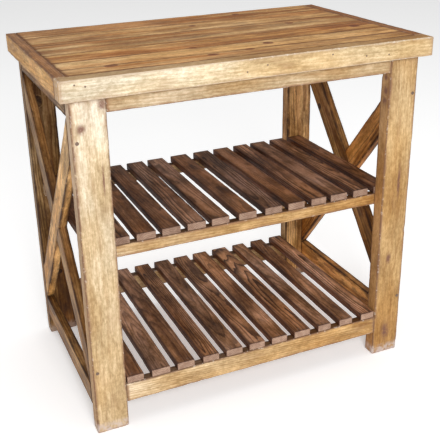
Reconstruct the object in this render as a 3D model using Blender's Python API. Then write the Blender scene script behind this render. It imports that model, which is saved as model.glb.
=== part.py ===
"""Kitchen island table in reclaimed pine: a thick plank top on four flat board legs, X-braced
ends, and two open shelves of dark slats. Metres, +Z up, +Y towards the back. The origin is on
the floor, under the middle of the top."""

import math

import bmesh
import bpy
from mathutils import Vector

# Overall size
HEIGHT = 0.900
WIDTH = 0.932
DEPTH = 0.582
GAP = 0.0003                # clearance between pieces that touch

# Top
TOP_THICKNESS = 0.047
SIDE_OVERHANG = 0.023
FRONT_OVERHANG = 0.023
BACK_OVERHANG = 0.011
END_STRIP = 0.027           # width of the strips that close the plank ends
FRONT_EDGING = 0.040        # width of the board along the front
PLANK_WIDTHS = (0.056, 0.072, 0.085, 0.118, 0.110)   # from the front; a last plank fills the rest
TONGUE_THICKNESS = 0.012
TONGUE_LENGTH = 0.009

# Legs
LEG_WIDTH = 0.081
LEG_DEPTH = 0.0375

# Rails
RAIL_THICKNESS = 0.024
APRON_HEIGHT = 0.037
TOP_SIDE_RAIL_HEIGHT = 0.045
LOW_SIDE_RAIL_BOTTOM = 0.066
LOW_SIDE_RAIL_HEIGHT = 0.059
SHELF_RAIL_BOTTOM = 0.072
SHELF_RAIL_HEIGHT = 0.052
MID_RAIL_BOTTOM = 0.4515
MID_RAIL_HEIGHT = 0.031
MID_RAIL_THICKNESS = 0.022
TENON_THICKNESS = 0.010
TENON_SHOULDER = 0.007      # step above and below a tenon
APRON_TENON = 0.030
SIDE_TENON = 0.022

# Braces
BRACE_THICKNESS = 0.022
BRACE_PLUMB_HEIGHT = 0.102  # height of a brace's upright end cut

# Slats
SLAT_THICKNESS = 0.019
MID_SLAT_WIDTHS = (0.046, 0.046, 0.049, 0.048, 0.049, 0.048, 0.050, 0.049, 0.048, 0.045, 0.050, 0.046, 0.046)
MID_SLAT_GAPS = (0.011, 0.016, 0.015, 0.017, 0.015, 0.025, 0.023, 0.017, 0.019, 0.013, 0.018, 0.018)
LOW_SLAT_WIDTHS = (0.044, 0.049, 0.047, 0.045, 0.047, 0.046, 0.046, 0.048, 0.040, 0.041, 0.042)
LOW_SLAT_GAPS = (0.021, 0.019, 0.023, 0.020, 0.019, 0.020, 0.022, 0.025, 0.027, 0.028)
LOW_SLAT_START = 0.002      # from the left legs' inner faces to the first lower slat

# Nails through the legs into the brace ends
NAIL_HEAD_RADIUS = 0.0042
NAIL_HEAD_HEIGHT = 0.0014
NAIL_SHANK_RADIUS = 0.0017
NAIL_LENGTH = 0.058
NAIL_SIDES = 16

EASE = 0.002                # rounding of sawn edges
TOP_EASE = 0.003            # rounding of the top's outer edges

# Places worked out from the sizes above
TOP_BOTTOM = HEIGHT - TOP_THICKNESS
LEFT = -WIDTH / 2 + SIDE_OVERHANG
RIGHT = -LEFT
FRONT = -DEPTH / 2 + FRONT_OVERHANG
BACK = DEPTH / 2 - BACK_OVERHANG
LEG_INNER_X = RIGHT - LEG_WIDTH
BAY_FRONT = FRONT + LEG_DEPTH
BAY_BACK = BACK - LEG_DEPTH
LOW_SIDE_RAIL_TOP = LOW_SIDE_RAIL_BOTTOM + LOW_SIDE_RAIL_HEIGHT
TOP_SIDE_RAIL_BOTTOM = TOP_BOTTOM - TOP_SIDE_RAIL_HEIGHT
BRACE_INNER_X = RIGHT - BRACE_THICKNESS

PINE = (0.62, 0.38, 0.17)
GOLDEN_PINE = (0.55, 0.33, 0.14)
WALNUT_STAIN = (0.13, 0.065, 0.042)
IRON = (0.22, 0.20, 0.19)


def clear_scene():
    for thing in list(bpy.data.objects):
        bpy.data.objects.remove(thing, do_unlink=True)


def material(name, colour, roughness, metallic=0.0):
    made = bpy.data.materials.new(name)
    made.use_nodes = True
    shader = made.node_tree.nodes["Principled BSDF"]
    shader.inputs["Base Color"].default_value = (*colour, 1.0)
    shader.inputs["Roughness"].default_value = roughness
    shader.inputs["Metallic"].default_value = metallic
    return made


def add_object(name, bm, colour, roughness=0.55, metallic=0.0):
    bmesh.ops.recalc_face_normals(bm, faces=bm.faces)
    mesh = bpy.data.meshes.new(name)
    bm.to_mesh(mesh)
    bm.free()
    mesh.materials.append(material(name, colour, roughness, metallic))
    thing = bpy.data.objects.new(name, mesh)
    bpy.context.scene.collection.objects.link(thing)
    return thing


def box_bmesh(low, high):
    bm = bmesh.new()
    bmesh.ops.create_cube(bm, size=1.0)
    for vert in bm.verts:
        vert.co = Vector(low[i] + (vert.co[i] + 0.5) * (high[i] - low[i]) for i in range(3))
    return bm


def ease_edges(bm, chosen, width):
    bmesh.ops.bevel(bm, geom=chosen, offset=width, segments=2, profile=0.5, affect="EDGES")


def board(name, low, high, axis, colour, ease=EASE):
    """A sawn board between two corners, its four edges along the given axis eased."""
    bm = box_bmesh(low, high)
    along = [e for e in bm.edges if abs(e.verts[0].co[axis] - e.verts[1].co[axis]) > GAP]
    ease_edges(bm, along, ease)
    return add_object(name, bm, colour)


def prism_bmesh(outline, x_low, x_high):
    """A closed outline of (y, z) points, carried along X."""
    bm = bmesh.new()
    face = bm.faces.new([bm.verts.new((x_low, y, z)) for y, z in outline])
    grown = bmesh.ops.extrude_face_region(bm, geom=[face])["geom"]
    moved = [v for v in grown if isinstance(v, bmesh.types.BMVert)]
    bmesh.ops.translate(bm, verts=moved, vec=(x_high - x_low, 0, 0))
    return bm


def combine(target, tool_bmesh, operation):
    """Joins the tool's volume to the target, or takes it away, and keeps the target's finish."""
    tool = add_object("tool", tool_bmesh, PINE)
    modifier = target.modifiers.new(operation, "BOOLEAN")
    modifier.operation = operation
    modifier.object = tool
    graph = bpy.context.evaluated_depsgraph_get()
    shaped = bpy.data.meshes.new_from_object(target.evaluated_get(graph), depsgraph=graph)
    finish = target.data.materials[0]
    target.modifiers.clear()
    target.data = shaped
    shaped.materials.clear()
    shaped.materials.append(finish)
    for face in shaped.polygons:
        face.material_index = 0
    bpy.data.objects.remove(tool, do_unlink=True)


def cut(target, low, high):
    combine(target, box_bmesh(low, high), "DIFFERENCE")


def grown_box(low, high, by):
    return [c - by for c in low], [c + by for c in high]


def tenoned_rail(name, low, high, axis, tenon, colour):
    """A rail between two legs, with a centred tenon on each end. Returns it with the tenon box."""
    rail = board(name, low, high, axis, colour)
    across = 1 - axis
    middle = (low[across] + high[across]) / 2
    stick_low, stick_high = list(low), list(high)
    stick_low[axis] -= tenon
    stick_high[axis] += tenon
    stick_low[across] = middle - TENON_THICKNESS / 2
    stick_high[across] = middle + TENON_THICKNESS / 2
    stick_low[2] += TENON_SHOULDER
    stick_high[2] -= TENON_SHOULDER
    combine(rail, box_bmesh(stick_low, stick_high), "UNION")
    return rail, (stick_low, stick_high)


# --- top -----------------------------------------------------------------------------------


def plank_outline(y_low, y_high, tongue, groove):
    """A plank's end view: a tongue on its front edge, a groove in its back edge."""
    mid = TOP_BOTTOM + TOP_THICKNESS / 2
    half = TONGUE_THICKNESS / 2
    deep = TONGUE_LENGTH + GAP
    outline = [(y_low, TOP_BOTTOM), (y_high, TOP_BOTTOM)]
    if groove:
        outline += [(y_high, mid - half - GAP), (y_high - deep, mid - half - GAP),
                    (y_high - deep, mid + half + GAP), (y_high, mid + half + GAP)]
    outline += [(y_high, HEIGHT), (y_low, HEIGHT)]
    if tongue:
        outline += [(y_low, mid + half), (y_low - TONGUE_LENGTH, mid + half),
                    (y_low - TONGUE_LENGTH, mid - half), (y_low, mid - half)]
    return outline


def make_top():
    inner_x = WIDTH / 2 - END_STRIP
    mid = TOP_BOTTOM + TOP_THICKNESS / 2
    half = TONGUE_THICKNESS / 2
    plank_front = -DEPTH / 2 + FRONT_EDGING
    edging = board("front_edging", (-WIDTH / 2, -DEPTH / 2, TOP_BOTTOM),
                   (WIDTH / 2, plank_front - GAP, HEIGHT), 0, PINE, TOP_EASE)
    cut(edging, (-inner_x - GAP, plank_front - GAP - TONGUE_LENGTH, mid - half - GAP),
        (inner_x + GAP, plank_front + GAP, mid + half + GAP))
    for side, sign in (("left", -1), ("right", 1)):
        xs = sorted((sign * (inner_x + GAP), sign * WIDTH / 2))
        strip = board(f"end_strip_{side}", (xs[0], plank_front, TOP_BOTTOM),
                      (xs[1], DEPTH / 2, HEIGHT), 1, GOLDEN_PINE)
        groove = sorted((sign * inner_x, sign * (inner_x + GAP + TONGUE_LENGTH + GAP)))
        cut(strip, (groove[0], -DEPTH, mid - half - GAP), (groove[1], DEPTH, mid + half + GAP))
    starts = [plank_front]
    for width in PLANK_WIDTHS:
        starts.append(starts[-1] + width)
    ends = starts[1:] + [DEPTH / 2 + GAP]
    for index, (y_low, y_high) in enumerate(zip(starts, ends), 1):
        last = index == len(starts)
        outline = plank_outline(y_low, y_high - GAP, tongue=True, groove=not last)
        bm = prism_bmesh(outline, -inner_x - TONGUE_LENGTH, inner_x + TONGUE_LENGTH)
        plank = add_object(f"top_plank_{index}", bm, PINE)
        for sign in (-1, 1):
            xs = sorted((sign * inner_x, sign * WIDTH))
            cut(plank, (xs[0], -DEPTH, mid + half), (xs[1], DEPTH, HEIGHT + TOP_THICKNESS))
            cut(plank, (xs[0], -DEPTH, TOP_BOTTOM - TOP_THICKNESS), (xs[1], DEPTH, mid - half))
            if index == 1:      # the edging's groove stops at the strips
                cut(plank, (xs[0], -DEPTH, TOP_BOTTOM), (xs[1], y_low, HEIGHT))


# --- legs, rails and braces ----------------------------------------------------------------


def make_legs():
    legs = {}
    for side, sign in (("left", -1), ("right", 1)):
        for end, y_low in (("front", FRONT), ("back", BAY_BACK)):
            xs = sorted((sign * LEG_INNER_X, sign * RIGHT))
            name = f"leg_{end}_{side}"
            legs[end, side] = board(name, (xs[0], y_low, 0), (xs[1], y_low + LEG_DEPTH, TOP_BOTTOM - GAP),
                                    2, PINE, 0.003)
    return legs


def make_cross_rails(legs):
    """The front and back rails that run along X, tenoned into the legs' inner edges."""
    heights = {"apron": (TOP_BOTTOM - APRON_HEIGHT, TOP_BOTTOM - GAP),
               "low_shelf_rail": (SHELF_RAIL_BOTTOM, SHELF_RAIL_BOTTOM + SHELF_RAIL_HEIGHT)}
    for kind, (z_low, z_high) in heights.items():
        for end, y_low in (("front", FRONT), ("back", BACK - RAIL_THICKNESS)):
            low = (-LEG_INNER_X + GAP, y_low, z_low)
            high = (LEG_INNER_X - GAP, y_low + RAIL_THICKNESS, z_high)
            stick = tenoned_rail(f"{kind}_{end}", low, high, 0, APRON_TENON, PINE)[1]
            for side in ("left", "right"):
                cut(legs[end, side], *grown_box(*stick, GAP))


def make_side_rails(legs):
    """The rails that run along Y at each end, tenoned into the legs' broad faces."""
    heights = {"top_side_rail": (TOP_SIDE_RAIL_BOTTOM, TOP_BOTTOM - GAP),
               "low_side_rail": (LOW_SIDE_RAIL_BOTTOM, LOW_SIDE_RAIL_TOP)}
    for kind, (z_low, z_high) in heights.items():
        for side, sign in (("left", -1), ("right", 1)):
            xs = sorted((sign * BRACE_INNER_X, sign * RIGHT))
            low = (xs[0], BAY_FRONT + GAP, z_low)
            high = (xs[1], BAY_BACK - GAP, z_high)
            stick = tenoned_rail(f"{kind}_{side}", low, high, 1, SIDE_TENON, GOLDEN_PINE)[1]
            for end in ("front", "back"):
                cut(legs[end, side], *grown_box(*stick, GAP))


def brace_outline(rises, spare=0.0):
    """A brace's side view from the front leg to the back leg; rises says it climbs to the back.
    Spare widens it and carries it past both legs' faces."""
    y_low, y_high = BAY_FRONT + GAP, BAY_BACK - GAP
    bottom, top = LOW_SIDE_RAIL_TOP + GAP, TOP_SIDE_RAIL_BOTTOM - GAP
    low_end = (bottom, bottom + BRACE_PLUMB_HEIGHT)
    high_end = (top - BRACE_PLUMB_HEIGHT, top)
    front, back = (low_end, high_end) if rises else (high_end, low_end)
    return [(y_low, front[0] - spare), (y_high, back[0] - spare),
            (y_high, back[1] + spare), (y_low, front[1] + spare)]


def make_braces():
    """Two braces at each end, half-lapped where they cross; the outer half of the crossing
    belongs to the brace that climbs to the front."""
    braces = {}
    for side, sign in (("left", -1), ("right", 1)):
        inner, outer = sign * BRACE_INNER_X, sign * RIGHT
        middle = (inner + outer) / 2
        for way, rises in (("rising_back", True), ("rising_front", False)):
            xs = sorted((inner, outer))
            bm = prism_bmesh(brace_outline(rises), *xs)
            slanted = [e for e in bm.edges
                       if abs(e.verts[0].co.y - e.verts[1].co.y) > BRACE_THICKNESS]
            ease_edges(bm, slanted, EASE)
            brace = add_object(f"brace_{side}_{way}", bm, GOLDEN_PINE)
            past = sign * BRACE_THICKNESS
            if rises:
                lap = sorted((middle - sign * GAP / 2, outer + past))
            else:
                lap = sorted((middle + sign * GAP / 2, inner - past))
            combine(brace, prism_bmesh(brace_outline(not rises, 2 * GAP), *lap), "DIFFERENCE")
            braces[side, way] = brace
    return braces


# --- shelves -------------------------------------------------------------------------------


def make_slats(prefix, start, widths, gaps, y_low, y_high, z_low):
    x_low = start
    for index, width in enumerate(widths, 1):
        board(f"{prefix}_{index:02d}", (x_low, y_low, z_low), (x_low + width, y_high, z_low + SLAT_THICKNESS),
              1, WALNUT_STAIN, 0.0015)
        if index <= len(gaps):
            x_low += width + gaps[index - 1]


def make_mid_shelf():
    """Rails on the legs' inner faces, under slats that reach from the front legs to the back legs."""
    reach = BRACE_INNER_X - GAP
    top = MID_RAIL_BOTTOM + MID_RAIL_HEIGHT
    for end, y_low in (("front", BAY_FRONT + GAP), ("back", BAY_BACK - GAP - MID_RAIL_THICKNESS)):
        board(f"mid_shelf_rail_{end}", (-reach, y_low, MID_RAIL_BOTTOM),
              (reach, y_low + MID_RAIL_THICKNESS, top), 0, PINE)
    make_slats("mid_slat", -reach, MID_SLAT_WIDTHS, MID_SLAT_GAPS, BAY_FRONT + GAP, BAY_BACK - GAP,
               top + GAP)


def make_low_shelf():
    make_slats("low_slat", -LEG_INNER_X + LOW_SLAT_START, LOW_SLAT_WIDTHS, LOW_SLAT_GAPS, FRONT, BACK,
               SHELF_RAIL_BOTTOM + SHELF_RAIL_HEIGHT + GAP)


# --- nails ---------------------------------------------------------------------------------


def turned_bmesh(profile, centre, facing):
    """Turns (radius, distance) points round the nail's line; distances run the way it is driven."""
    x, y, z = centre
    bm = bmesh.new()
    verts = [bm.verts.new((x + r, y + facing * d, z)) for r, d in profile]
    edges = [bm.edges.new(pair) for pair in zip(verts, verts[1:])]
    bmesh.ops.spin(bm, geom=verts + edges, cent=centre, axis=(0, 1, 0), angle=math.tau,
                   steps=NAIL_SIDES, use_merge=True)
    bmesh.ops.remove_doubles(bm, verts=bm.verts, dist=0.00001)
    return bm


def make_nails(legs, braces):
    """One nail through each leg into the end grain of each brace."""
    head = [(0, -GAP - NAIL_HEAD_HEIGHT), (0.6 * NAIL_HEAD_RADIUS, -GAP - 0.85 * NAIL_HEAD_HEIGHT),
            (NAIL_HEAD_RADIUS, -GAP - 0.4 * NAIL_HEAD_HEIGHT), (NAIL_HEAD_RADIUS, -GAP)]
    shank = [(NAIL_SHANK_RADIUS, -GAP), (NAIL_SHANK_RADIUS, NAIL_LENGTH - 0.006), (0, NAIL_LENGTH)]
    bore = NAIL_SHANK_RADIUS + GAP
    hole = [(0, -0.002), (bore, -0.002), (bore, NAIL_LENGTH + GAP), (0, NAIL_LENGTH + 2 * GAP)]
    low_z = LOW_SIDE_RAIL_TOP + BRACE_PLUMB_HEIGHT / 2
    high_z = TOP_SIDE_RAIL_BOTTOM - BRACE_PLUMB_HEIGHT / 2
    for side, sign in (("left", -1), ("right", 1)):
        x = sign * (BRACE_INNER_X + RIGHT) / 2
        for end, y, facing in (("front", FRONT, 1), ("back", BACK, -1)):
            for level, z in (("low", low_z), ("high", high_z)):
                way = "rising_back" if (end == "front") == (level == "low") else "rising_front"
                for target in (legs[end, side], braces[side, way]):
                    combine(target, turned_bmesh(hole, (x, y, z), facing), "DIFFERENCE")
                nail = add_object(f"brace_nail_{end}_{side}_{level}",
                                  turned_bmesh(head + shank, (x, y, z), facing), IRON, 0.6, 0.8)
                nail.data.shade_smooth()
                nail.data.set_sharp_from_angle(angle=math.radians(40))


def main():
    clear_scene()
    make_top()
    legs = make_legs()
    make_cross_rails(legs)
    make_side_rails(legs)
    braces = make_braces()
    make_mid_shelf()
    make_low_shelf()
    make_nails(legs, braces)


main()
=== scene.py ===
"""The looks of the kitchen island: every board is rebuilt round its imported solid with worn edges,
rounded ends and its own grain, and the finishes are procedural wood."""
import math

import bpy
import numpy as np
from mathutils import Matrix, Vector


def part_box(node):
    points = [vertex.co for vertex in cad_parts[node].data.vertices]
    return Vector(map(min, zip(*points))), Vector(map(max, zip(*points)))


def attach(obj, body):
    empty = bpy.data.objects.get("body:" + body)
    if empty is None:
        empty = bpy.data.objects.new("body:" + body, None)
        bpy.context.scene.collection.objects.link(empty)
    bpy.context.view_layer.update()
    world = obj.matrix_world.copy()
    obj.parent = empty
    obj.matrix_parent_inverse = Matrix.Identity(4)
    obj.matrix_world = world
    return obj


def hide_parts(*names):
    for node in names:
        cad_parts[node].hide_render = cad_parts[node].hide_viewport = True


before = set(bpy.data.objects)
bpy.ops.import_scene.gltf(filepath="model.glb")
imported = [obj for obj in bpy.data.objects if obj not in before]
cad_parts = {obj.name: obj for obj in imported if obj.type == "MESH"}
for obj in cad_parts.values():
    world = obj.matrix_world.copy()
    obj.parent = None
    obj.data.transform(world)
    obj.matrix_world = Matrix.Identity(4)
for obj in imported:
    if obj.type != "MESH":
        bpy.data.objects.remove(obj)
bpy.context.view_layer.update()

X, Y, Z = 0, 1, 2
QUARTER = math.pi / 2
SEED = 41
SEED_STEP = 7                # between one board's seed and the next one's
NAIL_SEED = 5

# Meshes
STATION_STEP = 0.008         # spacing of the sections along a board
FEWEST_STATIONS = 6
FACE_STEP = 0.009            # spacing of the points across a face
ARC_POINTS = 4               # points on each eased corner
CORNERS = ((1, 1), (-1, 1), (-1, -1), (1, -1))
LAP_CLEARANCE = 0.00015      # half the clearance in a lap joint
SHOULDER_CLEAR = 0.003       # no ordinary section is this near a lap's shoulder
JOINT_DIRT_AND_SHADE_REACH = 0.006     # how far the dirt and painted shade at a joint reach from a board's end

# The object
GAP = 0.0003                 # clearance between pieces that touch
BRACE_PLUMB = 0.102          # height of a brace's upright end cut
SLAT_COUNTS = (("mid", 13), ("low", 11))


# --- camera, light and floor ------------------------------------------------------------------


def make_camera():
    """The view's own place, heading, pitch and roll, with a small shift for its framing."""
    place = Vector((-0.795, -1.821, 1.285))
    heading, pitch, roll = -0.3999, 0.3854, -0.0243
    data = bpy.data.cameras.new("camera")
    data.sensor_width = 36.0
    data.lens = 63.97
    data.shift_x = 0.0322
    data.shift_y = -0.0709
    camera = bpy.data.objects.new("camera", data)
    bpy.context.scene.collection.objects.link(camera)
    turn = (Matrix.Rotation(heading, 4, "Z") @ Matrix.Rotation(QUARTER - pitch, 4, "X")
            @ Matrix.Rotation(roll, 4, "Z"))
    camera.matrix_world = Matrix.Translation(place) @ turn
    bpy.context.scene.camera = camera


def area_light(name, place, aim, size, power):
    data = bpy.data.lights.new(name, "AREA")
    data.shape = "SQUARE"
    data.size = size
    data.energy = power
    light = bpy.data.objects.new(name, data)
    light.location = place
    light.rotation_euler = (Vector(aim) - Vector(place)).to_track_quat("-Z", "Y").to_euler()
    bpy.context.scene.collection.objects.link(light)


def make_lights():
    """A low soft key in front, a wide overhead light and an even white surround."""
    world = bpy.data.worlds.new("studio")
    world.use_nodes = True
    background = world.node_tree.nodes["Background"]
    background.inputs["Color"].default_value = (1.0, 1.0, 1.0, 1.0)
    background.inputs["Strength"].default_value = 0.42
    bpy.context.scene.world = world
    bpy.context.scene.view_settings.view_transform = "Standard"
    area_light("key", (-0.55, -2.5, 1.75), (0.0, -0.1, 0.55), 0.8, 42.0)
    area_light("overhead", (0.3, 0.3, 5.0), (0.0, 0.0, 0.0), 5.0, 88.0)


def make_floor():
    reach = 30.0
    corners = [(-reach, -reach, 0), (reach, -reach, 0), (reach, reach, 0), (-reach, reach, 0)]
    mesh = bpy.data.meshes.new("floor")
    mesh.from_pydata(corners, [], [(0, 1, 2, 3)])
    finish = bpy.data.materials.new("floor_white")
    finish.use_nodes = True
    shader = finish.node_tree.nodes["Principled BSDF"]
    shader.inputs["Base Color"].default_value = (0.93, 0.93, 0.93, 1.0)
    shader.inputs["Roughness"].default_value = 0.9
    shader.inputs["Emission Color"].default_value = (1.0, 1.0, 1.0, 1.0)
    shader.inputs["Emission Strength"].default_value = 0.34
    mesh.materials.append(finish)
    floor = bpy.data.objects.new("floor", mesh)
    bpy.context.scene.collection.objects.link(floor)


# --- node helper ------------------------------------------------------------------------------


class Finish:
    """A material under construction: each method adds its nodes and gives back their output."""

    def __init__(self, name):
        self.material = bpy.data.materials.new(name)
        self.material.use_nodes = True
        self.tree = self.material.node_tree
        self.shader = self.tree.nodes["Principled BSDF"]

    def feed(self, socket, value):
        if isinstance(value, bpy.types.NodeSocket):
            self.tree.links.new(value, socket)
        elif value is not None:
            if socket.type == "RGBA":
                value = (*value, 1.0)
            socket.default_value = value

    def node(self, kind, output, settings=None, **inputs):
        made = self.tree.nodes.new(kind)
        for key, value in (settings or {}).items():
            setattr(made, key, value)
        for key, value in inputs.items():
            self.feed(made.inputs[key.replace("_", " ")], value)
        return made.outputs[output]

    def math(self, operation, a, b=None, clamp=False):
        made = self.tree.nodes.new("ShaderNodeMath")
        made.operation = operation
        made.use_clamp = clamp
        self.feed(made.inputs[0], a)
        self.feed(made.inputs[1], b)
        return made.outputs[0]

    def times(self, *factors):
        total = factors[0]
        for factor in factors[1:]:
            total = self.math("MULTIPLY", total, factor)
        return total

    def plus(self, *terms):
        total = terms[0]
        for term in terms[1:]:
            total = self.math("ADD", total, term)
        return total

    def vector(self, operation, a, b=None, output=0):
        made = self.tree.nodes.new("ShaderNodeVectorMath")
        made.operation = operation
        self.feed(made.inputs[0], a)
        self.feed(made.inputs[1], b)
        return made.outputs[output]

    def scaled(self, vector, factor):
        made = self.vector("SCALE", vector).node
        self.feed(made.inputs["Scale"], factor)
        return made.outputs[0]

    def parts(self, vector):
        made = self.node("ShaderNodeSeparateXYZ", "X", Vector=vector).node
        return tuple(made.outputs)

    def noise(self, at, scales, detail=2.0, roughness=0.5, output="Fac"):
        """Noise with its own scale along each of the three axes of at."""
        return self.node("ShaderNodeTexNoise", output, Vector=self.vector("MULTIPLY", at, scales),
                         Scale=1.0, Detail=detail, Roughness=roughness)

    def step(self, value, low, high, to_low=0.0, to_high=1.0):
        made = self.tree.nodes.new("ShaderNodeMapRange")
        made.interpolation_type = "SMOOTHSTEP"
        for key, number in zip(("Value", "From Min", "From Max", "To Min", "To Max"),
                               (value, low, high, to_low, to_high)):
            self.feed(made.inputs[key], number)
        return made.outputs[0]

    def mix(self, factor, a, b, blend="MIX"):
        made = self.tree.nodes.new("ShaderNodeMix")
        made.data_type = "RGBA"
        made.blend_type = blend
        self.feed(made.inputs["Factor"], factor)
        self.feed(made.inputs["A"], a)
        self.feed(made.inputs["B"], b)
        return made.outputs["Result"]

    def attribute(self, name):
        return self.node("ShaderNodeAttribute", "Vector", {"attribute_name": name})


# --- wood -------------------------------------------------------------------------------------

# Noise scales per metre, along the board, across it and through it
WANDER_SCALES = (2.2, 9.0, 9.0)
RIPPLE_SCALES = (14.0, 60.0, 60.0)
UNEVEN_SCALES = (0.3, 70.0, 70.0)
WIDE_SCALES = (1.6, 26.0, 26.0)
STREAK_SCALES = (2.5, 80.0, 80.0)
FIBRE_SCALES = (22.0, 300.0, 300.0)
BLOTCH_SCALES = (7.0, 20.0, 20.0)
SPECKLE_SCALES = (80.0, 140.0, 140.0)
SMEAR_SCALES = (11.0, 28.0, 28.0)
PATCH_SCALES = (4.0, 9.0, 9.0)
# and the same every way, for wear
RUB_SCALES = (60.0, 60.0, 60.0)
NICK_SCALES = (110.0, 110.0, 110.0)

WANDER = (0.0, 0.030, 0.030)  # how far the grain strays in long waves
RIPPLE = (0.0, 0.004, 0.004)  # and in short ones
KNOT_SWELL = (0.012, 0.016)   # how far a knot pushes the rings, across and through
WAX = (0.87, 0.725, 0.52)     # what a warmth of 1 leaves of red, green and blue
SHADE_FALLOFF = (1.19, 0.0, -1.18)   # painted shade: the colour is warmer and darker to the right and towards the floor
SHADE_FALLOFF_START = 1.5
SHADE_WARMTH = 1.3            # how much warmer the darker patches are
ROUGHNESS = 0.5
SPECULAR = 0.14
RELIEF_DEPTH = 0.0006
SCUFF_HEIGHTS = (0.034, 0.016)  # the feet's scuffs fade out between these heights
CHIP_COLOUR = (0.80, 0.70, 0.60)


class Wood(Finish):
    """Solid wood with growth rings round its board's own pith line. It reads three attributes of the
    board: grain, the place along, across and through it from its pith; look, its value, warmth and
    contrast; and wear, how far a point is on an edge, on an end face, and near an end."""

    def __init__(self, name, ring, knots):
        super().__init__(name)
        self.grain = self.attribute("grain")
        self.value, self.warmth, self.contrast = self.parts(self.attribute("look"))
        self.edge, self.end_face, self.near_end = self.parts(self.attribute("wear"))
        self.place = self.node("ShaderNodeTexCoord", "Object")
        self.knot = self.spots(knots, 0.6) if knots else None
        self.fibre = self.noise(self.grain, FIBRE_SCALES, 3.0, 0.7)
        self.speckle = self.noise(self.grain, SPECKLE_SCALES, 4.0, 0.75)
        self.smear = self.noise(self.grain, SMEAR_SCALES, 5.0, 0.68)
        self.rub = self.noise(self.place, RUB_SCALES, 5.0, 0.7)
        bent = self.bent_grain()
        self.late = self.late_wood(bent, ring)
        self.wide = self.step(self.noise(bent, WIDE_SCALES, 3.0, 0.55), 0.42, 0.60)
        self.streak = self.step(self.noise(bent, STREAK_SCALES, 4.0, 0.6), 0.44, 0.62)

    def spots(self, places, soft):
        """How far inside any of the egg-shaped places a point is: 0 outside, 1 well inside."""
        total = None
        for centre, radii in places:
            away = self.vector("DIVIDE", self.vector("SUBTRACT", self.place, centre), radii)
            inside = self.step(self.vector("LENGTH", away, output="Value"), 1.0, 1.0 - soft)
            total = inside if total is None else self.math("MAXIMUM", total, inside)
        return total

    def stray(self, scales, reach):
        colour = self.noise(self.grain, scales, output="Color")
        return self.vector("MULTIPLY", self.vector("SUBTRACT", colour, (0.5, 0.5, 0.5)), reach)

    def bent_grain(self):
        """The place in the board, moved as the trunk wandered and as the knots push the rings aside."""
        bent = self.vector("ADD", self.grain, self.stray(WANDER_SCALES, WANDER))
        bent = self.vector("ADD", bent, self.stray(RIPPLE_SCALES, RIPPLE))
        if self.knot is not None:
            across, through = (self.times(self.knot, reach) for reach in KNOT_SWELL)
            aside = self.node("ShaderNodeCombineXYZ", "Vector", X=0.0, Y=across, Z=through)
            bent = self.vector("ADD", bent, aside)
        return bent

    def late_wood(self, bent, ring):
        """The dark line that ends each year's ring."""
        radial = self.vector("LENGTH", self.vector("MULTIPLY", bent, (0.0, 1.0, 1.0)), output="Value")
        uneven = self.noise(bent, UNEVEN_SCALES, 1.0)
        turns = self.plus(self.math("DIVIDE", radial, ring), self.times(uneven, 1.1))
        part = self.math("FRACT", turns)
        return self.times(self.step(part, 0.35, 0.9), self.step(part, 1.0, 0.92))

    def grown(self, light, dark, amber, rings, streaks, mottle):
        """The bare wood's colour, and how light or dark each place in it is."""
        colour = self.mix(self.times(self.late, rings, self.contrast), light, dark)
        streaky = self.plus(self.times(self.wide, 0.65), self.times(self.streak, 0.35))
        streaky = self.math("MULTIPLY", streaky, self.times(self.contrast, streaks), clamp=True)
        colour = self.mix(streaky, colour, amber)
        blotch = self.noise(self.grain, BLOTCH_SCALES, 4.0, 0.6)
        shade = self.plus(self.step(blotch, 0.30, 0.70, 1.0 - mottle, 1.0 + 0.5 * mottle),
                          self.step(self.fibre, 0.38, 0.62, -0.09, 0.08),
                          self.step(self.speckle, 0.40, 0.60, -0.10, 0.09))
        return self.scaled(colour, self.times(shade, self.value)), shade

    def waxed_and_falloff_shaded(self, colour, shade, falloff_shade):
        # Each board's own warmth and its random warm patches, plus painted shade: warmer and darker
        # towards the right and the floor.
        warmth_and_falloff_shade = self.plus(self.vector("DOT_PRODUCT", self.place, SHADE_FALLOFF, output="Value"), SHADE_FALLOFF_START)
        patch = self.step(self.noise(self.grain, PATCH_SCALES), 0.35, 0.65, -0.3, 0.35)
        warmth_and_falloff_shade = self.plus(self.times(warmth_and_falloff_shade, falloff_shade), self.warmth, patch,
                           self.times(self.math("SUBTRACT", 1.0, shade), SHADE_WARMTH))
        red, green, blue = (self.math("POWER", left, warmth_and_falloff_shade) for left in WAX)
        wax = self.node("ShaderNodeCombineXYZ", "Vector", X=red, Y=green, Z=blue)
        return self.vector("MULTIPLY", colour, wax)

    def dirtied(self, colour, grime_and_joint_shade, dirt, edge_dirt):
        """Smears over the faces, and dirt beside the edges."""
        smeared = self.times(self.step(self.smear, 0.52, 0.66),
                             self.step(self.speckle, 0.35, 0.6, 0.35, 1.0))
        beside = self.times(self.step(self.edge, 0.08, 0.55), self.step(self.smear, 0.38, 0.58))
        dirty = self.math("MAXIMUM", self.times(smeared, dirt), self.times(beside, edge_dirt))
        return self.mix(dirty, colour, grime_and_joint_shade)

    def face_toned_and_shaded(self, colour, axis, face_tone_and_shade):
        """Multiplies the faces that look along an axis by a colour: partly the wood's own tone on those
        faces, partly painted shade on the faces that get less light.
        """
        normal = self.parts(self.node("ShaderNodeNewGeometry", "Normal"))
        facing = self.step(self.math("ABSOLUTE", normal[axis]), 0.7, 0.95)
        return self.mix(facing, colour, face_tone_and_shade, "MULTIPLY")

    def rubbed(self, colour, worn):
        """Edges where handling took the wax off or left its dirt."""
        rubbed = self.times(self.step(self.edge, 0.45, 0.85), self.step(self.rub, 0.34, 0.52, 0.25, 1.0))
        return self.mix(self.times(rubbed, 0.75), colour, worn)

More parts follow.
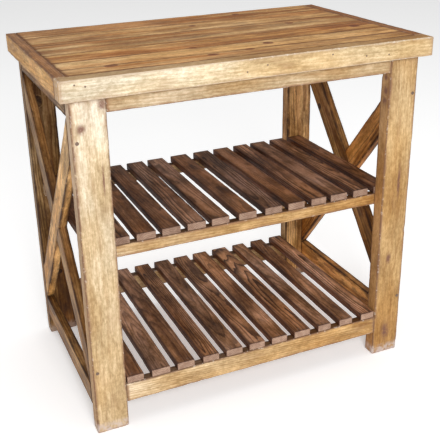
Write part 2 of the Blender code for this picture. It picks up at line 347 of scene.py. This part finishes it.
    def sawn(self, colour, end, dark, amber):
        """End grain, on the boards' end faces."""
        sawn = self.mix(self.times(self.late, 0.35), end, dark)
        sawn = self.mix(self.step(self.rub, 0.38, 0.62, 0.0, 0.45), sawn, amber)
        sawn = self.scaled(sawn, self.plus(self.times(self.value, 0.5), 0.5))
        return self.mix(self.times(self.end_face, 0.85), colour, sawn)

    def jointed_dirt_and_shade(self, colour, grime_and_joint_shade):
        """Dirt caught where a board's end meets its neighbour, and painted shade in the crevice there."""
        joint_dirt_and_shade = self.times(self.near_end, self.step(self.end_face, 0.5, 0.0),
                           self.step(self.rub, 0.35, 0.6, 0.25, 0.8))
        return self.mix(joint_dirt_and_shade, colour, grime_and_joint_shade)

    def stained(self, colour, stains, stain):
        mask = self.times(self.spots(stains, 0.9), self.step(self.rub, 0.34, 0.54, 0.3, 1.0))
        return self.mix(self.times(mask, 0.95), colour, stain)

    def knotted(self, colour, stain):
        eye = self.times(self.step(self.knot, 0.15, 0.6), self.step(self.rub, 0.3, 0.55, 0.6, 1.0))
        return self.mix(self.times(eye, 0.9), colour, stain)

    def scuffed(self, colour, scuff):
        height = self.parts(self.place)[Z]
        mask = self.times(self.step(height, *SCUFF_HEIGHTS), self.step(self.rub, 0.38, 0.60, 0.1, 0.8))
        return self.mix(mask, colour, scuff)

    def chipped(self, colour, chips):
        nick = self.noise(self.place, NICK_SCALES, 3.0)
        chip = self.times(self.step(self.edge, 0.3, 0.8), self.step(nick, 0.60, 0.64))
        return self.mix(self.times(chip, chips), colour, CHIP_COLOUR)

    def close(self, colour):
        """Feeds the shader: the colour, a roughness that varies with the streaks, and the relief."""
        self.feed(self.shader.inputs["Base Color"], colour)
        rough = self.plus(self.step(self.streak, 0.0, 1.0, ROUGHNESS, ROUGHNESS + 0.1),
                          self.times(self.edge, 0.12))
        self.feed(self.shader.inputs["Roughness"], rough)
        self.shader.inputs["Specular IOR Level"].default_value = SPECULAR
        relief = self.plus(self.times(self.late, 0.5), self.times(self.fibre, 0.6),
                           self.times(self.speckle, 0.7), self.rub)
        bump = self.node("ShaderNodeBump", "Normal", Strength=0.7, Distance=RELIEF_DEPTH, Height=relief)
        self.feed(self.shader.inputs["Normal"], bump)


def make_wood(name, light, dark, amber, end, worn, grime_and_joint_shade, ring=0.0055, rings=0.6, streaks=0.5,
              dirt=0.4, mottle=0.3, edge_dirt=0.5, falloff_shade=1.0, face_tone_and_shade=None, stain=(0.2, 0.1, 0.06),
              stains=(), knots=(), scuff=None, chips=0.0):
    """Light, dark and amber are the wood's own colours; end, worn and grime are those of its sawn ends,
    rubbed edges and dirt, and grime also paints the shade where a board's end meets its neighbour. Ring is
    the width of a year's growth; tint is (axis, colour), partly the faces' own tone and partly painted
    shade; warming is how strongly painted shade makes the wood darker and warmer towards the right and the
    floor."""
    wood = Wood(name, ring, knots)
    colour, shade = wood.grown(light, dark, amber, rings, streaks, mottle)
    colour = wood.waxed_and_falloff_shaded(colour, shade, falloff_shade)
    colour = wood.dirtied(colour, grime_and_joint_shade, dirt, edge_dirt)
    if face_tone_and_shade:
        colour = wood.face_toned_and_shaded(colour, *face_tone_and_shade)
    colour = wood.rubbed(colour, worn)
    colour = wood.sawn(colour, end, dark, amber)
    colour = wood.jointed_dirt_and_shade(colour, grime_and_joint_shade)
    if stains:
        colour = wood.stained(colour, stains, stain)
    if knots:
        colour = wood.knotted(colour, stain)
    if scuff:
        colour = wood.scuffed(colour, scuff)
    if chips:
        colour = wood.chipped(colour, chips)
    wood.close(colour)
    return wood.material


def make_iron():
    iron = Finish("nail_iron")
    place = iron.node("ShaderNodeTexCoord", "Object")
    pits = iron.noise(place, (900.0, 900.0, 900.0), 3.0, 0.6)
    iron.feed(iron.shader.inputs["Base Color"], iron.mix(pits, (0.10, 0.06, 0.04), (0.30, 0.21, 0.16)))
    iron.feed(iron.shader.inputs["Roughness"], iron.step(pits, 0.3, 0.7, 0.4, 0.75))
    iron.shader.inputs["Metallic"].default_value = 0.5
    bump = iron.node("ShaderNodeBump", "Normal", Strength=0.4, Distance=0.0004, Height=pits)
    iron.feed(iron.shader.inputs["Normal"], bump)
    return iron.material


# --- boards -----------------------------------------------------------------------------------


def waves(rng, at, lengths, sizes):
    """A smooth random curve through the given places, as a sum of a few sine waves."""
    total = np.zeros_like(at)
    for length, size in zip(lengths, sizes):
        total += size * np.sin(math.tau * at / length + rng.uniform(0, math.tau))
    return total


def corner_radii(rng, at, length, ease, wear):
    """How far each of the four long edges is rounded at each section: uneven, with rubbed places."""
    radii = np.empty((len(at), len(CORNERS)))
    for corner in range(len(CORNERS)):
        radius = ease * (1.0 + waves(rng, at, (0.31, 0.13, 0.06), (0.12, 0.09, 0.06)))
        for _ in range(rng.poisson(3.0 * wear * length)):
            middle, spread = rng.uniform(0, length), rng.uniform(0.004, 0.014)
            radius += ease * rng.uniform(0.2, 0.8) * np.exp(-((at - middle) / spread) ** 2)
        radii[:, corner] = np.maximum(radius, 0.4 * ease)
    return radii


def stations(length, end_ease, lap):
    """Where the sections are along a board: closer together on its rounded ends and at the shoulders
    of its lap."""
    first = end_ease * (1 - np.cos(np.linspace(0, QUARTER, ARC_POINTS)))
    steps = max(FEWEST_STATIONS, round(length / STATION_STEP))
    middle = np.linspace(0, length, steps + 1)[1:-1]
    middle = middle[(middle > 1.4 * end_ease) & (middle < length - 1.4 * end_ease)]
    if lap:
        reach = length / 2 - lap[0]
        middle = middle[np.abs(np.abs(middle - length / 2) - lap[0]) > SHOULDER_CLEAR]
        shoulders = [shoulder + side * LAP_CLEARANCE for shoulder in (reach, length - reach)
                     for side in (-1, 1)]
        middle = np.sort(np.concatenate([middle, shoulders]))
    return np.concatenate([first, middle, length - first[::-1]])


def outlines(half_v, half_w, radii, counts):
    """The sections' points across (v) and through (w) the board, one row for each section, and how far
    on an edge each point is. Counts are the steps across each face."""
    arcs = []
    for corner, (sv, sw) in enumerate(CORNERS):
        radius = radii[:, corner]
        arcs.append([(sv * (half_v - radius) + radius * math.cos(angle),
                      sw * (half_w - radius) + radius * math.sin(angle))
                     for angle in np.linspace(0, QUARTER, ARC_POINTS) + corner * QUARTER])
    columns, edge = [], []
    for corner, arc in enumerate(arcs):
        columns += arc
        edge += [1.0 if 0 < index < ARC_POINTS - 1 else 0.55 for index in range(ARC_POINTS)]
        (v0, w0), (v1, w1) = arc[-1], arcs[(corner + 1) % len(arcs)][0]
        for share in np.linspace(0, 1, counts[corner] + 1)[1:-1]:
            columns.append((v0 + share * (v1 - v0), w0 + share * (w1 - w0)))
            edge.append(0.0)
    v, w = (np.array(part).T for part in zip(*columns))
    return v, w, np.array(edge)


def hollows(rng, u, v):
    """How far the faces are planed away, in gentle waves along and across the board."""
    hollow = waves(rng, u + 0.4 * v, (0.23, 0.09, 0.037), (0.00012, 0.00010, 0.00006))
    hollow += waves(rng, v + 0.1 * u, (0.06, 0.024), (0.00008, 0.00005))
    return np.abs(hollow)


def tube_faces(rows, columns):
    """Quads round a tube of sections, and a face on each end."""
    ring = np.arange(columns)
    faces = []
    for row in range(rows - 1):
        a = row * columns + ring
        b = row * columns + np.roll(ring, -1)
        faces += np.stack([a, b, b + columns, a + columns], axis=1).tolist()
    faces.append(ring[::-1].tolist())
    faces.append((ring + (rows - 1) * columns).tolist())
    return faces


def set_attribute(mesh, name, parts, shape):
    """Gives each point a vector, whose parts are grids, columns or single numbers."""
    values = np.stack([np.broadcast_to(part, shape) for part in parts], axis=-1)
    layer = mesh.attributes.new(name, "FLOAT_VECTOR", "POINT")
    layer.data.foreach_set("vector", values.astype(np.float32).ravel())


def board(node, start, along, across, size, finish, slot, look, ease=0.0022, wear=1.0,
          pith=(0.0, 0.05), lean=(0.0, 0.0), shear=0.0, end_ease=0.0018, lap=None):
    """A worn board in place of a node. Start is the middle of its first end; along and across are unit
    vectors; size is its length, width and thickness; shear slants both ends. Pith is where its growth
    rings centre, across and through the board, and lean is how far that strays along it. Lap =
    (half length, slant, side) halves its thickness on one side round its middle."""
    length, width, thickness = size
    rng = np.random.default_rng(SEED + len(bpy.data.meshes) * SEED_STEP)
    at = stations(length, end_ease, lap)
    from_end = np.minimum(at, length - at)[:, None]
    short = np.clip(1 - from_end / end_ease, 0, 1)
    inset = end_ease * (1 - np.sqrt(1 - short[:, 0] ** 2))
    radii = corner_radii(rng, at, length, ease, wear)
    radii = np.minimum(radii, 0.45 * min(width, thickness) - end_ease) * (1 - 0.5 * short)
    counts = [max(2, round(face / FACE_STEP)) for face in (width, thickness, width, thickness)]
    v, w, edge = outlines(width / 2 - inset, thickness / 2 - inset, radii, counts)
    u = np.repeat(at[:, None], v.shape[1], axis=1)
    hollow = hollows(rng, u, v)
    w = w * (1 - 2 * hollow / thickness)
    v = v * (1 - 2 * hollow / width)

    slant = np.full_like(u, shear)
    if lap:
        half, lap_slant, side = lap
        reach = length / 2 - half
        bends = (0, reach - LAP_CLEARANCE, length - reach + LAP_CLEARANCE, length)
        slant = np.interp(u, bends, (shear, lap_slant, lap_slant, shear))
        inside = np.abs(u - length / 2) < half
        w = np.where(inside, side * np.minimum(side * w, -LAP_CLEARANCE), w)

    slanted = u + slant * v
    axis_u, axis_v = Vector(along).normalized(), Vector(across).normalized()
    axis_w = axis_u.cross(axis_v)
    points = (np.array(start) + slanted[..., None] * np.array(axis_u) + v[..., None] * np.array(axis_v)
              + w[..., None] * np.array(axis_w))
    mesh = bpy.data.meshes.new(node + "_wood")
    mesh.from_pydata(points.reshape(-1, 3).tolist(), [], tube_faces(*u.shape))
    mesh.shade_smooth()

    offset = rng.uniform(2, 40)
    grain = (slanted + offset, v - pith[0] + lean[0] * u, w - pith[1] + lean[1] * u)
    edge = np.maximum(edge, np.where(from_end < 1.2 * end_ease, 0.8, 0.0))
    end_face = np.clip(1 - from_end / (0.6 * end_ease), 0, 1)
    near_end = np.exp(-from_end / JOINT_DIRT_AND_SHADE_REACH)
    set_attribute(mesh, "grain", grain, u.shape)
    set_attribute(mesh, "look", look, u.shape)
    set_attribute(mesh, "wear", (edge, end_face, near_end), u.shape)
    mesh.materials.append(finish)
    piece = bpy.data.objects.new(node + "_wood", mesh)
    bpy.context.scene.collection.objects.link(piece)
    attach(piece, "root")
    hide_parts(node)


def unit(axis):
    return Vector(1.0 if i == axis else 0.0 for i in range(3))


def box_board(node, along, across, finish, slot, look, trim=None, **options):
    """A board that fills its solid's box, or the part of it inside trim = (low, high) corners."""
    low, high = (list(corner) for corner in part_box(node))
    if trim:
        low = [max(a, b) for a, b in zip(low, trim[0])]
        high = [min(a, b) for a, b in zip(high, trim[1])]
    start = [(a + b) / 2 for a, b in zip(low, high)]
    start[along] = low[along]
    size = [high[axis] - low[axis] for axis in (along, across, 3 - along - across)]
    board(node, start, unit(along), unit(across), size, finish, slot, look, **options)


# --- finishes ---------------------------------------------------------------------------------

PINE = dict(light=(0.74, 0.61, 0.43), dark=(0.45, 0.28, 0.14), amber=(0.60, 0.41, 0.22),
            end=(0.40, 0.25, 0.13), worn=(0.18, 0.095, 0.06), grime_and_joint_shade=(0.33, 0.18, 0.095))
PALE = {**PINE, "light": (0.80, 0.69, 0.50), "amber": (0.68, 0.51, 0.31), "worn": (0.62, 0.50, 0.36),
        "end": (0.62, 0.35, 0.16)}
GOLDEN = dict(light=(0.60, 0.38, 0.17), dark=(0.15, 0.065, 0.025), amber=(0.36, 0.17, 0.06),
              end=(0.2, 0.11, 0.06), worn=(0.05, 0.025, 0.016), grime_and_joint_shade=(0.06, 0.026, 0.014),
              ring=0.006, rings=0.7, streaks=0.7, dirt=0.7, mottle=0.5, edge_dirt=0.9,
              stain=(0.035, 0.018, 0.014))

# Knots and stains: where each one is, and its radii along X, Y and Z
TOP_KNOTS = [((0.378, -0.075, 0.9), (0.019, 0.017, 0.03)), ((0.081, -0.155, 0.9), (0.018, 0.016, 0.03)),
             ((0.011, -0.197, 0.9), (0.018, 0.011, 0.03)), ((0.252, 0.050, 0.9), (0.016, 0.013, 0.03)),
             ((0.186, 0.247, 0.9), (0.015, 0.012, 0.03)), ((-0.327, -0.204, 0.9), (0.022, 0.014, 0.03)),
             ((-0.088, -0.211, 0.9), (0.020, 0.012, 0.03)), ((0.007, 0.143, 0.9), (0.014, 0.014, 0.03)),
             ((-0.102, -0.12, 0.9), (0.016, 0.010, 0.03))]
LEG_KNOTS = [((-0.40, 0.25, 0.20), (0.014, 0.05, 0.011)), ((-0.41, 0.25, 0.72), (0.016, 0.05, 0.022)),
             ((0.395, 0.25, 0.70), (0.012, 0.05, 0.020)), ((0.41, 0.25, 0.40), (0.012, 0.05, 0.018))]
BRACE_KNOTS = [((0.42, 0.155, 0.615), (0.05, 0.013, 0.015)), ((0.42, 0.11, 0.53), (0.05, 0.010, 0.02)),
               ((-0.42, 0.10, 0.38), (0.05, 0.013, 0.015)), ((0.42, -0.08, 0.30), (0.05, 0.012, 0.014))]
LEG_STAINS = [((-0.421, -0.268, 0.786), (0.017, 0.02, 0.018)),
              ((-0.380, -0.268, 0.665), (0.0035, 0.02, 0.055)),
              ((-0.372, -0.268, 0.835), (0.014, 0.02, 0.022)), ((0.41, -0.268, 0.52), (0.007, 0.02, 0.07)),
              ((0.395, -0.268, 0.30), (0.012, 0.02, 0.025)), ((0.40, -0.268, 0.07), (0.02, 0.02, 0.045)),
              ((0.362, -0.250, 0.802), (0.010, 0.012, 0.012)),
              ((0.362, -0.252, 0.768), (0.010, 0.014, 0.020)),
              ((0.362, -0.250, 0.742), (0.010, 0.016, 0.016))]


def make_woods():
    # Where a colour is given with an axis, it multiplies the faces that look along that axis: partly the
    # wood's own tone there, partly painted shade on the faces that get less light.
    return {
        "striped": make_wood("striped_pine", light=(0.74, 0.48, 0.22), dark=(0.24, 0.10, 0.035),
                             amber=(0.42, 0.17, 0.045), end=(0.3, 0.17, 0.08), worn=(0.09, 0.04, 0.02),
                             grime_and_joint_shade=(0.17, 0.07, 0.03), ring=0.010, rings=0.5, streaks=1.0, dirt=0.5,
                             edge_dirt=0.8, falloff_shade=0.5, knots=TOP_KNOTS, stain=(0.15, 0.035, 0.012)),
        "pale": make_wood("pale_pine", **PALE, ring=0.007, rings=0.35, streaks=0.6, dirt=0.35,
                          mottle=0.18, face_tone_and_shade=(Z, (0.62, 0.47, 0.32)), chips=0.6),
        "pine": make_wood("waxed_pine", **PINE, ring=0.006, rings=0.5, streaks=0.4, dirt=0.24,
                          mottle=0.22, edge_dirt=0.7, face_tone_and_shade=(X, (0.90, 0.78, 0.70)), stains=LEG_STAINS,
                          stain=(0.19, 0.085, 0.06), scuff=(0.62, 0.52, 0.48), chips=0.3),
        "strip": make_wood("end_strip_pine", **PINE, ring=0.006, rings=0.6, dirt=0.6, edge_dirt=0.9,
                           face_tone_and_shade=(Z, (0.48, 0.40, 0.42)), chips=0.2),
        # the rails' tops much darker: painted shade where they show between the slats' ends
        "shelf_rail": make_wood("dark_top_pine", **PINE, ring=0.006, rings=0.7, dirt=0.4,
                                edge_dirt=0.7, falloff_shade=1.5, face_tone_and_shade=(Z, (0.26, 0.21, 0.22)), chips=0.4),
        "aged": make_wood("aged_waxed_pine", **GOLDEN, knots=LEG_KNOTS, scuff=(0.45, 0.33, 0.26)),
        "golden": make_wood("golden_pine", **GOLDEN, knots=BRACE_KNOTS),
        # the slats' side faces darker: painted shade in the narrow gaps between them
        "walnut": make_wood("walnut_stain", light=(0.37, 0.20, 0.115), dark=(0.05, 0.024, 0.016),
                            amber=(0.17, 0.082, 0.048), end=(0.43, 0.285, 0.205),
                            worn=(0.12, 0.065, 0.048), grime_and_joint_shade=(0.055, 0.030, 0.026), ring=0.0048,
                            rings=0.9, streaks=0.7, mottle=0.55, edge_dirt=0.35, falloff_shade=0.2,
                            face_tone_and_shade=(X, (0.48, 0.35, 0.26))),
    }


# --- the object -------------------------------------------------------------------------------

FAR = 9.0                    # a trim's corner that is past the object on that axis
LEG_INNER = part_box("leg_front_left")[1]
BAY_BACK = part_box("leg_back_left")[0][Y]
RIGHT_LEG_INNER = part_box("leg_front_right")[0][X]
STRIP_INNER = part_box("end_strip_right")[0][X]
BETWEEN_X = ((LEG_INNER[X], -FAR, -FAR), (RIGHT_LEG_INNER, FAR, FAR))
BETWEEN_Y = ((-FAR, LEG_INNER[Y], -FAR), (FAR, BAY_BACK, FAR))


def make_top(woods):
    """Planks trimmed to what shows of them, past their tongues, with the edging and end strips."""
    looks = ((0.94, 0.3, 1.0), (1.10, 0.1, 0.7), (1.00, 0.7, 1.1), (0.88, 0.1, 1.0),
             (0.98, 0.1, 1.0), (1.00, 0.1, 1.1))
    piths = ((0.02, -0.05), (-0.05, -0.02), (0.03, -0.045), (0.01, -0.06), (-0.02, -0.05), (0.03, -0.04))
    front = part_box("front_edging")[1][Y]
    for index, (look, pith) in enumerate(zip(looks, piths)):
        node = f"top_plank_{index + 1}"
        trim = ((-STRIP_INNER, front + GAP, -FAR), (STRIP_INNER, FAR, FAR))
        box_board(node, X, Y, woods["striped"], "striped_pine", look, trim, ease=0.0009, wear=1.2,
                  pith=pith, lean=(0.02 - 0.008 * index, 0.012), end_ease=0.0007)
        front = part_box(node)[1][Y]
    box_board("front_edging", X, Z, woods["pale"], "waxed_pine", (0.95, 0.0, 0.8), ease=0.0026,
              wear=1.6, pith=(0.03, 0.05), lean=(0.012, 0.02), end_ease=0.003)
    for side in ("left", "right"):
        box_board(f"end_strip_{side}", Y, Z, woods["strip"], "golden_pine", (1.40, 1.8, 1.0),
                  ease=0.0022, wear=1.5, pith=(0.02, 0.03), lean=(0.02, 0.01))


def make_legs(woods):
    legs = {"front_left": ((0.96, -0.1, 0.5), (0.03, 0.06)),
            "front_right": ((0.93, 0.1, 0.6), (-0.02, 0.05)),
            "back_left": ((0.70, 0.0, 1.1), (0.01, -0.04)),
            "back_right": ((1.40, -1.2, 1.1), (0.02, -0.05))}
    for corner, (look, pith) in legs.items():
        wood = woods["pine" if corner.startswith("front") else "aged"]
        box_board(f"leg_{corner}", Z, X, wood, "waxed_pine", look, ease=0.0034, wear=2.0, pith=pith,
                  lean=(0.014, 0.006), end_ease=0.0045)


def make_rails(woods):
    box_board("apron_front", X, Z, woods["pine"], "waxed_pine", (0.85, 0.0, 1.0), BETWEEN_X,
              pith=(0.03, 0.03), lean=(0.03, 0.01))
    box_board("apron_back", X, Z, woods["pine"], "waxed_pine", (0.7, 0.3, 1.0), BETWEEN_X)
    box_board("low_shelf_rail_front", X, Z, woods["shelf_rail"], "waxed_pine", (1.08, -0.9, 0.9),
              BETWEEN_X, ease=0.0028, wear=2.5, pith=(0.05, 0.02), lean=(0.05, 0.02))
    box_board("low_shelf_rail_back", X, Z, woods["shelf_rail"], "waxed_pine", (0.8, -1.3, 0.8),
              BETWEEN_X, ease=0.003, wear=3.0, pith=(-0.02, 0.03), lean=(0.03, 0.0))
    for end, value in (("front", 0.95), ("back", 0.62)):
        box_board(f"mid_shelf_rail_{end}", X, Z, woods["shelf_rail"], "waxed_pine",
                  (value, -0.25, 0.9), wear=2.0, pith=(0.03, 0.04), lean=(0.02, 0.01))
    for side, low_value, warmth in (("left", 0.85, 0.2), ("right", 1.5, -0.6)):
        for level, value in (("top", 0.9), ("low", low_value)):
            box_board(f"{level}_side_rail_{side}", Y, Z, woods["golden"], "golden_pine",
                      (value, warmth, 1.1), BETWEEN_Y, wear=2.0, pith=(0.03, 0.02), lean=(0.03, 0.01))


def make_braces(woods):
    """Each pair crosses in a half lap, whose shoulders are slanted to the other brace."""
    looks = {("left", "rising_back"): (0.85, 0.2, 1.0), ("left", "rising_front"): (1.65, 0.0, 0.5),
             ("right", "rising_back"): (0.85, -0.2, 1.1), ("right", "rising_front"): (1.7, 0.3, 1.1)}
    for (side, way), look in looks.items():
        node = f"brace_{side}_{way}"
        low, high = (Vector(corner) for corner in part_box(node))
        run, climb = high.y - low.y, high.z - low.z - BRACE_PLUMB
        rising_back = way == "rising_back"
        along = Vector((0, run, climb if rising_back else -climb)).normalized()
        across = Vector((0, -along.z, along.y))
        start_height = low.z + BRACE_PLUMB / 2 if rising_back else high.z - BRACE_PLUMB / 2
        start = Vector(((low.x + high.x) / 2, low.y, start_height))
        size = (math.hypot(run, climb), BRACE_PLUMB * along.y, high.x - low.x)
        outward = 1 if side == "right" else -1
        crossing = 2 * math.atan2(abs(along.z), along.y)
        slant = 1 / math.tan(crossing) * (-1 if rising_back else 1)
        lap = (size[1] / 2 / math.sin(crossing), slant, outward if rising_back else -outward)
        board(node, start, along, across, size, woods["golden"], "golden_pine", look, ease=0.0022,
              wear=1.5, pith=(0.02, 0.04), lean=(0.015, 0.01), shear=-across.y / along.y, lap=lap)


def make_slats(woods):
    """Dark slats, each of its own tone, a little lighter on the lower shelf and to the right."""
    rng = np.random.default_rng(SEED)
    for shelf, count in SLAT_COUNTS:
        for index in range(1, count + 1):
            base = (0.75 if shelf == "mid" else 1.25) + 0.35 * index / count
            look = (base * rng.uniform(0.85, 1.2), rng.uniform(-0.5, 0.6), rng.uniform(0.5, 1.2))
            pith = (rng.uniform(-0.02, 0.02), rng.choice([-1, 1]) * rng.uniform(0.012, 0.05))
            lean = (rng.uniform(-0.03, 0.03), rng.uniform(-0.05, 0.05))
            box_board(f"{shelf}_slat_{index:02d}", Y, X, woods["walnut"], "walnut_stained_pine", look,
                      ease=0.0017, wear=3.0, pith=pith, lean=lean, end_ease=0.002)


# --- nails ------------------------------------------------------------------------------------

NAIL_SIDES, NAIL_RINGS = 12, 3
NAIL_RISE = 0.0005           # how far a head stands out
SUNK = 0.0001                # how far a head's middle plane is under the wood's surface
SLAT_NAIL_RADIUS = 0.0021
SLAT_NAIL_INSET = 0.012      # from a slat's end
EDGING_NAIL_RADIUS = 0.0024
EDGING_NAILS = ((-0.410, 0.8836), (-0.4325, 0.889), (-0.041, 0.8709), (0.0095, 0.8812),
                (0.179, 0.8866), (0.272, 0.8732), (0.336, 0.8697))


def nail_heads(name, places, out, radius, finish):
    """Small domed heads at the given points, all facing out."""
    turn = Vector(out).to_track_quat("Z", "Y").to_matrix()
    verts, faces = [], []
    for point in places:
        base = len(verts)
        for ring in range(NAIL_RINGS + 1):
            angle = ring / NAIL_RINGS * QUARTER
            r, h = radius * math.cos(angle * 0.96), NAIL_RISE * (2 * math.sin(angle) - 1)
            for side in range(NAIL_SIDES):
                a = side / NAIL_SIDES * math.tau
                verts.append(Vector(point) + turn @ Vector((r * math.cos(a), r * math.sin(a), h)))
        for row in (base + ring * NAIL_SIDES for ring in range(NAIL_RINGS)):
            for side in range(NAIL_SIDES):
                a, b = row + side, row + (side + 1) % NAIL_SIDES
                faces.append((a, b, b + NAIL_SIDES, a + NAIL_SIDES))
        faces.append(tuple(base + NAIL_RINGS * NAIL_SIDES + side for side in range(NAIL_SIDES)))
        faces.append(tuple(base + side for side in reversed(range(NAIL_SIDES))))
    mesh = bpy.data.meshes.new(name)
    mesh.from_pydata(verts, [], faces)
    mesh.shade_smooth()
    mesh.materials.append(finish)
    piece = bpy.data.objects.new(name, mesh)
    bpy.context.scene.collection.objects.link(piece)
    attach(piece, "root")


def make_nails(iron):
    """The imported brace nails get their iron; the slats and the front edging get small nail heads."""
    for node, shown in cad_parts.items():
        if node.startswith("brace_nail"):
            shown.data.materials.clear()
            shown.data.materials.append(iron)
    rng = np.random.default_rng(SEED + NAIL_SEED)
    for shelf, count in SLAT_COUNTS:
        places = []
        for index in range(1, count + 1):
            low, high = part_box(f"{shelf}_slat_{index:02d}")
            for y in (low[Y] + SLAT_NAIL_INSET, high[Y] - SLAT_NAIL_INSET):
                x = (low[X] + high[X]) / 2 + rng.uniform(-0.008, 0.008)
                places.append((x, y + rng.uniform(-0.002, 0.002), high[Z] - SUNK))
        nail_heads(f"{shelf}_slat_nails", places, (0, 0, 1), SLAT_NAIL_RADIUS, iron)
    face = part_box("front_edging")[0][Y]
    places = [(x, face + SUNK, z) for x, z in EDGING_NAILS]
    nail_heads("edging_nails", places, (0, -1, 0), EDGING_NAIL_RADIUS, iron)


def main():
    make_camera()
    make_lights()
    make_floor()
    woods = make_woods()
    make_top(woods)
    make_legs(woods)
    make_rails(woods)
    make_braces(woods)
    make_slats(woods)
    make_nails(make_iron())


main()
